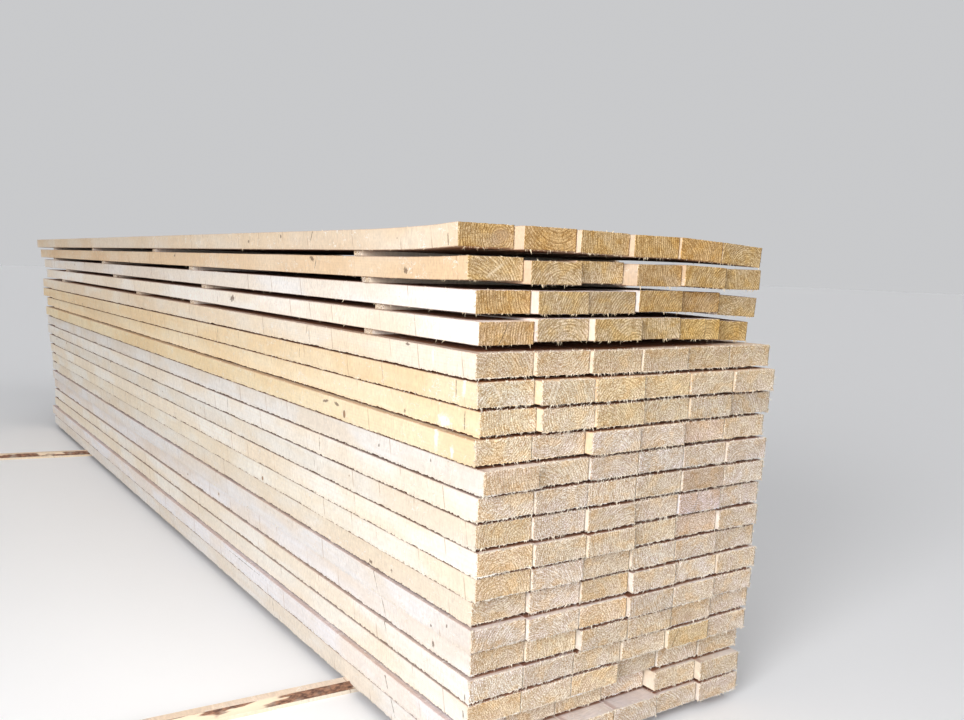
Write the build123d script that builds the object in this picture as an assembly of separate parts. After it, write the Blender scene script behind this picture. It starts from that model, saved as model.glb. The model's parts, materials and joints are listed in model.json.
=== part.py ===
from build123d import *

import math
import os
from dataclasses import dataclass

# A stack of rough-sawn softwood planks: twenty courses of six planks laid flat. Thin
# laths keep the sixteen lower courses apart, thicker stickers the four upper ones, and
# two waney battens on the floor carry the whole. Lengths are in millimetres, angles in
# degrees. X runs along the planks towards the end seen first, Y across the stack away
# from the long side seen first, and Z up. While the stack is laid up, X is zero at the
# line of the plank ends, Y at the long side and Z at the floor. It is centred last.

# Sawn sizes of the planks
plank_length = 5220.0
green_thickness = 52.0
green_width = 150.0
dry_thickness = 50.0
dry_width = 144.0
arris = 1.5
planks_per_course = 6
side_gap = 0.9

# Spacers between the courses, and how far they stop short of the long sides
lath_thickness = 8.4
lath_width = 45.0
lath_inset = 27.0
sticker_thickness = 14.0
sticker_width = 42.0
sticker_inset = 6.0
sticker_overhang = 5.5

# A short lath under one course, nearer to the ends than its row
chock_row = 14
chock_setback = 235.0

# Battens under the stack
batten_width = 44.0
batten_height = 30.0
batten_length = 2000.0
batten_reach = 840.0
near_batten_setback = 591.0
far_batten_inset = 1145.0
wane_width = 14.0
wane_height = 19.0
bark_roundness = 1.1

# Lie of the upper planks beyond their first sticker
bend_clearance = 14.0
bend_middle = 240.0
bend_share = 0.3

# Unevenness: the step that the plank ends are given in, and the drift of what repeats
end_step = 5.0
lath_wander = 35.0
lath_wander_turn = 2.4
far_end_step = 9.0
far_end_cycle = 9
row_stride = 5
column_stride = 7


@dataclass
class Course:
    """One layer of planks, from the long side seen first across the stack."""

    ends: tuple  # how many steps each plank end stands out beyond the line of ends
    shift: float = 0.0  # how far the layer is pushed across the stack
    extra: int = 0  # how many steps longer than the rest its planks are
    lift: tuple = (0, 0, 0, 0, 0, 0)  # rise of each near end off the straight
    turn: tuple = (0, 0, 0, 0, 0, 0)  # drop of each near end's far edge by twist


@dataclass
class Spacing:
    """Where the spacers of one row lie along the planks."""

    near: float  # from the line of ends to the first spacer
    far: float  # from the last spacer to the far ends
    between: tuple  # the others, as shares of the way from the first to the last


@dataclass
class Batten:
    """One batten on the floor, lying across the stack."""

    setback: float  # from the line of ends to the batten, at the long side
    skew: float  # degrees off square


# Lower courses from the floor up
green_courses = (
    Course(ends=(1, 0, 0, 0, -1, 1), shift=-12, extra=-18),
    Course(ends=(-10, -10, -10, -11, -3, 1), shift=-14, extra=-18),
    Course(ends=(-2, -2, -2, -6, -5, -4), extra=-16),
    Course(ends=(-2, -2, -2, -1, 1, 0), shift=3, extra=-16),
    Course(ends=(-4, -3, 1, 1, 0, -1), shift=10, extra=-12),
    Course(ends=(-1, 1, 1, 3, 3, 2), extra=-12),
    Course(ends=(-4, -2, -1, 2, 1, 2), shift=9, extra=-8),
    Course(ends=(0, 1, 0, 1, 1, 0), shift=4, extra=-10),
    Course(ends=(2, 3, 4, 1, 0, 2), extra=-8),
    Course(ends=(0, 1, 3, 1, 2, 1), extra=-4),
    Course(ends=(1, 2, 2, 2, 3, 3), extra=4),
    Course(ends=(4, 1, 2, 2, 2, 3), shift=3, extra=8),
    Course(ends=(-1, -1, 4, 3, 1, 1), shift=-4, extra=2),
    Course(ends=(-3, 1, 2, 1, 2, 1), shift=12, extra=6),
    Course(ends=(-3, 2, 3, 2, 3, 4), shift=4, extra=22),
    Course(ends=(-5, -3, -1, 0, -1, -1), shift=5, extra=18),
)

# Upper courses from the lowest up
dry_courses = (
    Course(
        ends=(-6, -4, 0, -4, -5, -12),
        shift=13,
        extra=-8,
        lift=(1, 7, 7, 7, 3, -5),
        turn=(0, 0, 0, 0, -2, -6),
    ),
    Course(
        ends=(-11, -6, -7, -5, -8, -9),
        shift=20,
        extra=10,
        lift=(1, 1, 2, 6, 4, -6),
        turn=(0, 0, 0, 0, -2, -7),
    ),
    Course(
        ends=(-13, -8, -13, -4, -2, -5),
        shift=4,
        extra=12,
        lift=(6, 0, 4, 1, 1, -3),
        turn=(0, 0, 0, 0, -4, 0),
    ),
    Course(
        ends=(-18, -11, -8, -5, -4, -4),
        shift=-6,
        extra=18,
        lift=(10, 8, 5, 2, -1, -8),
        turn=(0, -1, -2, 0, -6, -8),
    ),
)

# The laths lie in like rows, and each row of stickers lies as it was thrown down
lath_spacing = Spacing(near=560.0, far=360.0, between=(0.34, 0.68))
sticker_spacings = (
    Spacing(near=545.0, far=520.0, between=(0.357, 0.556)),
    Spacing(near=500.0, far=635.0, between=(0.343, 0.694)),
    Spacing(near=543.0, far=320.0, between=(0.334, 0.679)),
    Spacing(near=580.0, far=370.0, between=(0.448, 0.731)),
)
battens = (
    Batten(setback=near_batten_setback, skew=4.0),
    Batten(setback=plank_length - far_batten_inset, skew=12.0),
)

# What follows from the sizes
green_span = planks_per_course * (green_width + side_gap) - side_gap
dry_span = planks_per_course * (dry_width + side_gap) - side_gap
lath_length = green_span - 2 * lath_inset
sticker_length = dry_span - sticker_inset + sticker_overhang
first_sticker = min(spacing.near for spacing in sticker_spacings)
bend_start = first_sticker - sticker_width / 2 - bend_clearance


def plank_profile(width, thickness):
    """Sawn section with its four arrises taken off."""
    section = Rectangle(width, thickness)
    return chamfer(section.vertices(), arris)


def place(profile, x, y, z, twist=0.0):
    """The profile standing across the plank at one place along it."""
    turned = math.radians(twist)
    across = (0, math.cos(turned), math.sin(turned))
    return Plane(origin=(x, y, z), x_dir=across, z_dir=(1, 0, 0)) * profile


def straight_plank(profile, near_x, y, z, length):
    """A plank that lies straight from end to end."""
    return extrude(place(profile, near_x - length, y, z), amount=length)


def bent_plank(profile, width, near_x, y, z, length, lift, turn):
    """A plank that leaves the straight beyond its first sticker, bowed and twisted."""
    twist = math.degrees(math.asin(turn / width))
    stations = (
        (near_x - length, 0.0),
        (-bend_start, 0.0),
        (-bend_middle, bend_share),
        (near_x, 1.0),
    )
    sections = [place(profile, x, y, z + share * lift, share * twist) for x, share in stations]
    return loft(sections, ruled=True)


def far_end_wander(row, column):
    """A small unevenness of the far ends, different for each plank."""
    steps = (row_stride * row + column_stride * column) % far_end_cycle
    return far_end_step * (steps - far_end_cycle // 2)


def lay_course(course, row, level, width, thickness):
    """All planks of one course, side by side with a saw-cut's gap between them."""
    profile = plank_profile(width, thickness)
    planks = []
    for column in range(planks_per_course):
        near_x = course.ends[column] * end_step
        y = course.shift + width / 2 + column * (width + side_gap)
        z = level + thickness / 2
        length = plank_length + course.extra * end_step
        if column > 0:
            length += far_end_wander(row, column)
        lift = course.lift[column]
        turn = course.turn[column]
        if lift or turn:
            plank = bent_plank(profile, width, near_x, y, z, length, lift, turn)
        else:
            plank = straight_plank(profile, near_x, y, z, length)
        planks.append(plank)
    return planks


def lay_spacers(setbacks, level, width, thickness, length, inset):
    """One row of laths or stickers across the stack, on top of a course."""
    spacers = []
    for setback in setbacks:
        middle = (-setback, inset + length / 2, level + thickness / 2)
        spacers.append(Location(middle) * Box(width, length, thickness))
    return spacers


def setbacks_of(spacing):
    """How far behind the line of ends each spacer of a row lies."""
    last = plank_length - spacing.far
    middles = [spacing.near + share * (last - spacing.near) for share in spacing.between]
    return [spacing.near, *middles, last]


def lath_places(row):
    """Where the laths of one row lie, each row a little off the one below."""
    wander = lath_wander * math.sin(lath_wander_turn * row)
    places = [setback + wander for setback in setbacks_of(lath_spacing)]
    if row == chock_row:
        places[0] = chock_setback
    return places


def waney_batten(batten):
    """A batten with bark left on one upper edge, lying skew across the stack."""
    half = batten_width / 2
    edge_low = (half, batten_height - wane_height)
    edge_high = (half - wane_width, batten_height)
    bark = RadiusArc(edge_low, edge_high, -bark_roundness * wane_height)
    outline = Polyline(edge_high, (-half, batten_height), (-half, 0), (half, 0), edge_low) + bark
    section = Plane(origin=(0, -batten_reach, 0), x_dir=(1, 0, 0), z_dir=(0, -1, 0)) * make_face(outline)
    bar = extrude(section, amount=-batten_length)
    return Location((-batten.setback, 0, 0)) * (Rotation(0, 0, -batten.skew) * bar)


def build_stack():
    """Every node of the stack by name, laid up from the floor."""
    nodes = {"floor_battens": [waney_batten(batten) for batten in battens]}
    level = batten_height
    for index, course in enumerate(green_courses):
        row = index + 1
        nodes[f"course_{row:02d}"] = lay_course(course, row, level, green_width, green_thickness)
        level += green_thickness
        if row < len(green_courses):
            nodes[f"laths_{row:02d}"] = lay_spacers(
                lath_places(row), level, lath_width, lath_thickness, lath_length, lath_inset
            )
            level += lath_thickness
    for index, course in enumerate(dry_courses):
        row = len(green_courses) + index + 1
        places = setbacks_of(sticker_spacings[index])
        inset = sticker_inset + max(course.shift, 0.0)
        nodes[f"stickers_{row - 1:02d}"] = lay_spacers(
            places, level, sticker_width, sticker_thickness, sticker_length, inset
        )
        level += sticker_thickness
        nodes[f"course_{row:02d}"] = lay_course(course, row, level, dry_width, dry_thickness)
        level += dry_thickness
    return nodes


def centre(nodes):
    """Move the stack so that the origin is under the middle of its box."""
    boxes = [piece.bounding_box(optimal=False) for pieces in nodes.values() for piece in pieces]
    near_x = max(box.max.X for box in boxes)
    far_x = min(box.min.X for box in boxes)
    right_y = max(box.max.Y for box in boxes)
    left_y = min(box.min.Y for box in boxes)
    floor_z = min(box.min.Z for box in boxes)
    move = Location((-(near_x + far_x) / 2, -(right_y + left_y) / 2, -floor_z))
    return {name: Compound(children=[move * piece for piece in pieces]) for name, pieces in nodes.items()}


os.makedirs("parts", exist_ok=True)
for name, solid in centre(build_stack()).items():
    export_step(solid, f"parts/{name}.step")
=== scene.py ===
"""Dresses the stack of sawn planks: every board, spacer and batten as rough-sawn pine.

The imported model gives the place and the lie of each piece. Each one is built again here
with torn arrises, a rough cross-cut face and loose fibres, and is finished with rings,
knots and saw marks that run through the wood.
"""

from __future__ import annotations

import json
import logging
import math
from dataclasses import dataclass, field, replace
from enum import Enum

import bpy
import numpy as np
from mathutils import Matrix, Vector

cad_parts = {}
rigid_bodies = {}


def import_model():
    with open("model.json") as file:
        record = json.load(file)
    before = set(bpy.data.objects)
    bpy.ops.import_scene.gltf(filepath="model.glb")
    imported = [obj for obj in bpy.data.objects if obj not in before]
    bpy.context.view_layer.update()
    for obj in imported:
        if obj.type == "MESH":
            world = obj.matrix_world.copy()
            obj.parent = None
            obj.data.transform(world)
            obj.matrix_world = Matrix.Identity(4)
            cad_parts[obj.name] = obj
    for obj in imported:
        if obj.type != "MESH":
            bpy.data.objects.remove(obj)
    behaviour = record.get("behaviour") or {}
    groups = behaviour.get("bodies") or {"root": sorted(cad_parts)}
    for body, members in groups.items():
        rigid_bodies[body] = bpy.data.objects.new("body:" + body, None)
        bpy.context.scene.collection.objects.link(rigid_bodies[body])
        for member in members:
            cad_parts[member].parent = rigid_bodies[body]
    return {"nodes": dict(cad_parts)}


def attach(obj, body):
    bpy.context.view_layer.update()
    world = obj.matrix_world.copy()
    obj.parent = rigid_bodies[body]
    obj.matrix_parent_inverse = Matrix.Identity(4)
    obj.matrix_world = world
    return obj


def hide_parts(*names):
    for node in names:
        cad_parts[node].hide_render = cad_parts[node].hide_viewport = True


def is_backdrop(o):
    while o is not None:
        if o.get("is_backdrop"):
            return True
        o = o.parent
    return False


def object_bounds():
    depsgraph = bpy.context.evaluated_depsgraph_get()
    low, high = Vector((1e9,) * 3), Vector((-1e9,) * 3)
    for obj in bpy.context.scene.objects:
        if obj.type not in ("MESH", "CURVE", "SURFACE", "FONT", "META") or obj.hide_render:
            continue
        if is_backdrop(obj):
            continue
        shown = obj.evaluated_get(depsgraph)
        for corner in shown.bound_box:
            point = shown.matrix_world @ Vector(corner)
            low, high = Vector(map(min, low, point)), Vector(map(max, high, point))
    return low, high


MM = 0.001
TOUCH = 1e-9
CLOSE = 2e-5
WELD_DIGITS = 6
FIRST_DRY_COURSE = 17
FIRST_FIRM_COURSE = 13
COURSE_SEED = 400
SPACER_SEED = 900
BATTEN_SEED = 1300
MARK_NAMES = ("mark_a", "mark_b", "mark_c", "mark_d")
LOG = logging.getLogger("stack")

Array = np.ndarray
Colour = tuple[float, float, float]


class Growth(Enum):
    """How a plank was cut from its log, as places of the pith off its middle, in mm."""

    FLAT_LOW = (12.0, -46.0)
    FLAT_HIGH = (-15.0, 48.0)
    BOXED = (18.0, -9.0)
    BOXED_RIGHT = (36.0, 6.0)
    RIFT_LEFT = (-88.0, -62.0)
    RIFT_RIGHT = (84.0, -66.0)
    QUARTER = (118.0, 22.0)


class Tone(Enum):
    """How the wood of one plank end differs from its neighbours, as a tint."""

    PLAIN = (1.0, 1.0, 1.0)
    PALE = (1.06, 1.1, 1.17)
    AMBER = (1.03, 0.96, 0.86)
    YELLOW = (1.02, 0.97, 0.85)
    GREYED = (0.95, 0.97, 1.02)
    ROSY = (1.03, 0.98, 1.0)
    BROWN = (0.86, 0.8, 0.76)
    GOLD = (1.04, 0.99, 0.78)


class Slot(Enum):
    """Material slots of a dressed mesh."""

    FACE = 0
    END = 1
    FIBRE = 2
    BARK = 3


class MarkKind(Enum):
    """Kinds of single marks on the long side, as the number that the finish reads."""

    NONE = 0
    KNOT = 1
    RUN = 2
    # PALE is a painted highlight: a pale patch of light on the long side, not a mark in the wood.
    PALE = 3


KNOT, RUN, PALE = MarkKind.KNOT, MarkKind.RUN, MarkKind.PALE


def columns(*parts: Array | float) -> Array:
    """Put numbers side by side as columns, with single ones repeated down every row."""
    return np.stack(np.broadcast_arrays(*parts), axis=1)


@dataclass(frozen=True)
class FaceMark:
    """One mark on the long side: its place along the stack and up the plank, in mm."""

    stain: MarkKind = MarkKind.NONE
    along: float = 0.0
    up: float = 0.0
    half_length: float = 1.0
    half_height: float = 1.0
    lean: float = 0.0

    def offsets(self, along: Array, up: Array) -> Array:
        """Measure how far points are from the mark, in its own half sizes.

        Args:
            along: places along the plank.
            up: places up its thickness.

        Returns:
            Columns of both distances and the kind of mark.
        """
        turn = math.radians(self.lean)
        run = along - self.along * MM
        rise = up - self.up * MM
        level = (run * math.cos(turn) + rise * math.sin(turn)) / (self.half_length * MM)
        square = (rise * math.cos(turn) - run * math.sin(turn)) / (self.half_height * MM)
        return columns(level, square, float(self.stain.value))


@dataclass(frozen=True)
class PlankLook:
    """What sets one plank apart: its tone, growth, heart stain and check or pale streaks."""

    tone: Tone = Tone.PLAIN
    growth: Growth | None = None
    heart_radius: float = 0.0
    heart_amount: float = 0.0
    check: tuple[float, float, float] | None = None
    pale_streaks: int = 0


@dataclass(frozen=True)
class CourseLook:
    """Colour of a course's long faces and ends, its planks that stand out and its marks."""

    face_tint: Colour = (1.01, 1.035, 1.075)
    end_tint: Colour = (1.0, 1.0, 1.0)
    planks: dict[int, PlankLook] = field(default_factory=dict)
    marks: tuple[tuple, ...] = ()


# PALE marks in this table are painted highlights, pale patches of light near the corner of the long
# side.
COURSE_LOOKS: dict[int, CourseLook] = {
    20: CourseLook(
        face_tint=(0.95, 0.885, 0.8),
        end_tint=(0.97, 0.92, 0.82),
        planks={
            1: PlankLook(Tone.PLAIN, Growth.BOXED_RIGHT, 24.0, 0.55),
            2: PlankLook(Tone.AMBER, Growth.FLAT_HIGH),
            3: PlankLook(Tone.PLAIN, Growth.QUARTER),
            4: PlankLook(Tone.YELLOW, Growth.QUARTER),
            5: PlankLook(Tone.AMBER, Growth.RIFT_LEFT),
            6: PlankLook(Tone.PALE, Growth.FLAT_LOW),
        },
        marks=(
            (RUN, 1859, 12, 2.0, 15, -30),
            (KNOT, 1373, -1, 7, 6),
            (KNOT, 1638, 12, 5, 4),
            (RUN, 2560, -8, 2.0, 16, 6),
        ),
    ),
    19: CourseLook(
        face_tint=(0.89, 0.78, 0.66),
        planks={
            1: PlankLook(Tone.PLAIN, Growth.RIFT_LEFT, check=(-4.0, -4.0, 34.0), pale_streaks=1),
            2: PlankLook(Tone.PLAIN, Growth.FLAT_LOW),
            3: PlankLook(Tone.PALE, Growth.QUARTER),
            4: PlankLook(Tone.AMBER, Growth.QUARTER),
            5: PlankLook(Tone.YELLOW, Growth.RIFT_RIGHT),
            6: PlankLook(Tone.PLAIN, Growth.QUARTER),
        },
        marks=(
            (KNOT, 2363, -6, 9, 7),
            (KNOT, 1837, 15, 14, 5, -20),
            (RUN, 1860, 2, 1.6, 16, -24),
            (KNOT, 514, 12, 9, 5),
        ),
    ),
    18: CourseLook(
        face_tint=(1.06, 1.12, 1.26),
        end_tint=(0.96, 0.95, 0.93),
        planks={
            1: PlankLook(Tone.AMBER, Growth.QUARTER),
            2: PlankLook(Tone.PALE, Growth.RIFT_RIGHT),
            3: PlankLook(Tone.PALE, Growth.RIFT_RIGHT),
            4: PlankLook(Tone.YELLOW, Growth.RIFT_RIGHT),
            5: PlankLook(Tone.AMBER, Growth.RIFT_RIGHT),
            6: PlankLook(Tone.PALE, Growth.FLAT_HIGH),
        },
    ),
    17: CourseLook(
        face_tint=(1.03, 1.06, 1.12),
        planks={
            1: PlankLook(Tone.ROSY, Growth.QUARTER, check=(-8.0, 0.0, 62.0)),
            2: PlankLook(Tone.PALE, Growth.FLAT_LOW),
            3: PlankLook(Tone.PALE, Growth.RIFT_RIGHT),
            4: PlankLook(Tone.PALE, Growth.QUARTER),
            5: PlankLook(Tone.GOLD, Growth.BOXED, check=(18.0, 0.0, 88.0)),
            6: PlankLook(Tone.GOLD, Growth.FLAT_LOW),
        },
        marks=((KNOT, 1149, 4, 26, 9, 12), (RUN, 990, 0, 1.4, 22, 2)),
    ),
    16: CourseLook(
        face_tint=(1.0, 0.95, 0.86),
        end_tint=(0.84, 0.8, 0.7),
        planks={1: PlankLook(growth=Growth.RIFT_LEFT), 6: PlankLook(Tone.PALE)},
        marks=(
            (PALE, 2490, 4, 4, 17, 3),
            (RUN, 1812, -4, 1.2, 20, 4),
            (KNOT, 2375, 21, 9, 3),
            (RUN, 1795, 12, 1.6, 14, -18),
        ),
    ),
    15: CourseLook(
        face_tint=(1.03, 0.92, 0.74),
        end_tint=(0.95, 0.94, 0.87),
        planks={
            1: PlankLook(Tone.PALE, Growth.FLAT_LOW, check=(-24.0, 4.0, -52.0), pale_streaks=1),
            2: PlankLook(Tone.PLAIN, Growth.RIFT_LEFT, check=(-38.0, 0.0, 66.0), pale_streaks=2),
            3: PlankLook(Tone.YELLOW),
            4: PlankLook(Tone.YELLOW),
        },
        marks=(
            (RUN, 2590, 8, 1.8, 19, 2),
            (PALE, 2621, 9, 7, 19, -3),
            (RUN, 1744, 2, 1.4, 21),
            (RUN, 1012, 0, 1.4, 23),
        ),
    ),
    14: CourseLook(
        face_tint=(1.03, 0.94, 0.77),
        end_tint=(0.96, 0.96, 0.9),
        planks={3: PlankLook(Tone.YELLOW)},
        marks=((PALE, 2532, -16, 27, 17), (RUN, 2615, 0, 2, 24), (KNOT, 2355, -19, 5, 6)),
    ),
    13: CourseLook(
        face_tint=(1.03, 0.95, 0.8),
        planks={
            1: PlankLook(Tone.PLAIN),
            2: PlankLook(Tone.PLAIN, Growth.FLAT_HIGH),
            3: PlankLook(Tone.GREYED, Growth.FLAT_LOW, check=(18.0, -2.0, 40.0), pale_streaks=1),
            5: PlankLook(Tone.ROSY),
        },
        marks=(
            (PALE, 2525, 4, 9, 25),
            (PALE, 2592, -12, 7, 17),
            (KNOT, 1940, 9, 14, 4, 8),
            (KNOT, 2010, 10, 14, 4, -8),
        ),
    ),
    12: CourseLook(
        planks={1: PlankLook(Tone.AMBER), 4: PlankLook(Tone.PALE)},
        marks=((KNOT, 2240, -2, 4, 4), (KNOT, 2492, 9, 4, 4)),
    ),
    11: CourseLook(
        planks={
            4: PlankLook(Tone.GREYED),
            5: PlankLook(Tone.BROWN, Growth.BOXED, 26.0, 0.5),
            6: PlankLook(Tone.PALE, Growth.RIFT_RIGHT),
        },
        marks=((RUN, 1889, -2, 1.6, 22), (RUN, 1109, 0, 1.6, 24)),
    ),
    10: CourseLook(
        planks={1: PlankLook(Tone.YELLOW), 5: PlankLook(Tone.ROSY, check=(-14.0, 2.0, 76.0))},
        marks=((RUN, 1851, -7, 1.4, 18), (KNOT, -703, 22, 12, 4), (KNOT, 110, 22, 8, 4)),
    ),
    9: CourseLook(planks={1: PlankLook(Tone.AMBER), 5: PlankLook(Tone.ROSY)}),
    8: CourseLook(planks={1: PlankLook(Tone.AMBER), 4: PlankLook(Tone.PALE)}),
    7: CourseLook(
        planks={3: PlankLook(Tone.YELLOW), 5: PlankLook(Tone.PALE)},
        marks=((KNOT, 2190, -20, 8, 6), (KNOT, 2301, -10, 5, 5), (RUN, 2194, -22, 1.6, 9, 20)),
    ),
    6: CourseLook(
        planks={2: PlankLook(growth=Growth.RIFT_LEFT), 3: PlankLook(Tone.AMBER)},
        marks=((RUN, 2232, 6, 1.6, 32, 28), (KNOT, 2582, 2, 4, 5), (KNOT, 2514, -21, 5, 4)),
    ),
    5: CourseLook(
        planks={1: PlankLook(Tone.YELLOW), 5: PlankLook(Tone.YELLOW, Growth.BOXED, 18.0, 0.4)},
        marks=((RUN, 2260, 0, 1.6, 32, 28), (KNOT, 2509, -9, 6, 8)),
    ),
    4: CourseLook(
        planks={1: PlankLook(Tone.PALE), 5: PlankLook(Tone.YELLOW, check=(-50.0, 0.0, 62.0))},
        marks=((RUN, 2281, 20, 1.6, 16, 24), (KNOT, 2660, -18, 3, 9), (KNOT, -2166, -18, 8, 4)),
    ),
    3: CourseLook(
        planks={1: PlankLook(Tone.AMBER), 3: PlankLook(Tone.YELLOW)},
        marks=((KNOT, 2660, 1, 3, 8),),
    ),
    2: CourseLook(
        marks=((KNOT, 2317, 15, 5, 5), (RUN, 2325, -2, 1.8, 22, 26), (RUN, 1280, 12, 178, 1.1))
    ),
    1: CourseLook(marks=((RUN, 2356, 4, 1.8, 26, 30), (RUN, 1541, 0, 1.4, 24, 14))),
}


def hashed(lattice: Array, seed: float) -> Array:
    """Give each lattice point a value from 0 to 1 that looks random and depends on the seed."""
    raw = np.sin(lattice * 127.1 + seed * 311.7) * 43758.5453
    return raw - np.floor(raw)


def drift(place: Array, seed: float) -> Array:
    """Smooth noise along a line, from -1 to 1, that changes about once per unit.

    Args:
        place: places along the line.
        seed: chooses the line.

    Returns:
        The noise at each place.
    """
    cell = np.floor(place)
    share = place - cell
    share = share * share * (3 - 2 * share)
    before = hashed(cell, seed)
    return 2 * (before + (hashed(cell + 1, seed) - before) * share) - 1


def relief(across: Array, up: Array, seed: float) -> Array:
    """Smooth noise over a plane, from -1 to 1, that changes about once per unit.

    Args:
        across: first coordinate.
        up: second coordinate, of the same shape.
        seed: chooses the pattern.

    Returns:
        The noise at each point.
    """
    column = np.floor(across)
    row = np.floor(up)
    share_across = across - column
    share_up = up - row
    share_across = share_across * share_across * (3 - 2 * share_across)
    share_up = share_up * share_up * (3 - 2 * share_up)
    key = column + 57.0 * row
    low = hashed(key, seed) * (1 - share_across) + hashed(key + 1, seed) * share_across
    high = hashed(key + 57, seed) * (1 - share_across) + hashed(key + 58, seed) * share_across
    return 2 * (low * (1 - share_up) + high * share_up) - 1


def link_object(name: str, data: bpy.types.ID) -> bpy.types.Object:
    """Make an object with some mesh, light or camera and put it in the scene.

    Args:
        name: name of the object.
        data: what it holds.

    Returns:
        The object.
    """
    thing = bpy.data.objects.new(name, data)
    bpy.context.scene.collection.objects.link(thing)
    return thing


@dataclass(frozen=True)
class Station:
    """Where the middle of a bar is at one place along it."""

    along: float
    side: float
    height: float
    twist: float


@dataclass(frozen=True)
class Bar:
    """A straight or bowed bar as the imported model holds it, from its far end to its near one."""

    stations: tuple[Station, ...]
    width: float
    thickness: float
    lies_across: bool = False
    ease: float = 0.07
    ease_steps: int = 9
    overrun: float = 0.2

    @property
    def half_width(self) -> float:
        """Half of the width."""
        return self.width / 2

    @property
    def half_depth(self) -> float:
        """Half of the thickness."""
        return self.thickness / 2

    def tip(self, end: int) -> float:
        """Place of the near end (1) or the far one (-1) along the bar."""
        return self.stations[-1 if end > 0 else 0].along

    def lie(self, along: Array) -> list[Array]:
        """Find the bar's middle and twist, with its bends eased into curves.

        Args:
            along: places along the bar.

        Returns:
            Sideways place, height and twist at each place.
        """
        last, before = self.stations[-1], self.stations[-2]
        slope = self.overrun / (last.along - before.along)
        places = [*(station.along for station in self.stations), last.along + self.overrun]
        offsets = np.linspace(-self.ease, self.ease, self.ease_steps)
        result = []
        for name in ("side", "height", "twist"):
            values = [getattr(station, name) for station in self.stations]
            values.append(values[-1] + (values[-1] - values[-2]) * slope)
            eased = (np.interp(along + offset, places, values) for offset in offsets)
            result.append(sum(eased) / self.ease_steps)
        return result

    def place(self, along: Array, across: Array, up: Array) -> Array:
        """Turn places in the bar's own terms into points of the row frame.

        Args:
            along: places along the bar.
            across: places across its width, from its middle.
            up: places up its thickness, from its middle.

        Returns:
            One point per row.
        """
        side, height, twist = self.lie(along)
        turned_side = side + across * np.cos(twist) - up * np.sin(twist)
        turned_up = height + across * np.sin(twist) + up * np.cos(twist)
        if self.lies_across:
            return columns(turned_side, -along, turned_up)
        return columns(along, turned_side, turned_up)


def loose_pieces(node: bpy.types.Object) -> list[Array]:
    """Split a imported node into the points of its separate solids.

    Args:
        node: a node of the frame.

    Returns:
        The distinct points of each solid, in the order of their middles along Y, then X.
    """
    rounded = np.round(np.array([vertex.co for vertex in node.data.vertices], float), WELD_DIGITS)
    number = {key: index for index, key in enumerate(sorted({tuple(row) for row in rounded}))}
    welded = [number[tuple(row)] for row in rounded]
    parent = list(range(len(number)))

    def root(item: int) -> int:
        """Follow an item up to the one that stands for its solid.

        Args:
            item: number of a point.

        Returns:
            Number of the point that stands for its solid.
        """
        while parent[item] != item:
            parent[item] = parent[parent[item]]
            item = parent[item]
        return item

    for polygon in node.data.polygons:
        corners = [welded[index] for index in polygon.vertices]
        for corner in corners[1:]:
            parent[root(corner)] = root(corners[0])
    groups: dict[int, list[tuple[float, float, float]]] = {}
    for key, index in number.items():
        groups.setdefault(root(index), []).append(key)
    pieces = [np.array(rows) for rows in groups.values()]
    return sorted(pieces, key=lambda rows: (round(rows[:, 1].mean(), 3), rows[:, 0].mean()))


def read_plank(points: Array) -> Bar:
    """Read the lie of a plank from the distinct points of its solid.

    Args:
        points: the points.

    Returns:
        The plank as a bar.
    """
    stations = []
    sizes = []
    levels, counts = np.unique(np.round(points[:, 0], 5), return_counts=True)
    for along in levels[counts == counts.max()]:
        section = points[np.abs(points[:, 0] - along) < CLOSE][:, 1:]
        middle = section.mean(axis=0)
        spread = section - middle
        axis = np.linalg.eigh(spread.T @ spread)[1][:, -1]
        axis = axis if axis[0] > 0 else -axis
        twist = math.atan2(axis[1], axis[0])
        stations.append(Station(float(along), float(middle[0]), float(middle[1]), twist))
        sizes.append((np.ptp(spread @ axis), np.ptp(spread @ np.array([-axis[1], axis[0]]))))
    width, thickness = np.mean(sizes, axis=0)
    return Bar(tuple(stations), float(width), float(thickness))


def read_spacer(points: Array) -> Bar:
    """Read a lath or sticker, which lies across the stack with its near end at the long side.

    Args:
        points: the distinct points of its solid.

    Returns:
        The spacer as a bar.
    """
    low, high = points.min(axis=0), points.max(axis=0)
    side, _, height = (low + high) / 2
    ends = (-high[1], -low[1])
    stations = tuple(Station(float(end), float(side), float(height), 0.0) for end in ends)
    return Bar(stations, float(high[0] - low[0]), float(high[2] - low[2]), lies_across=True)


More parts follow.
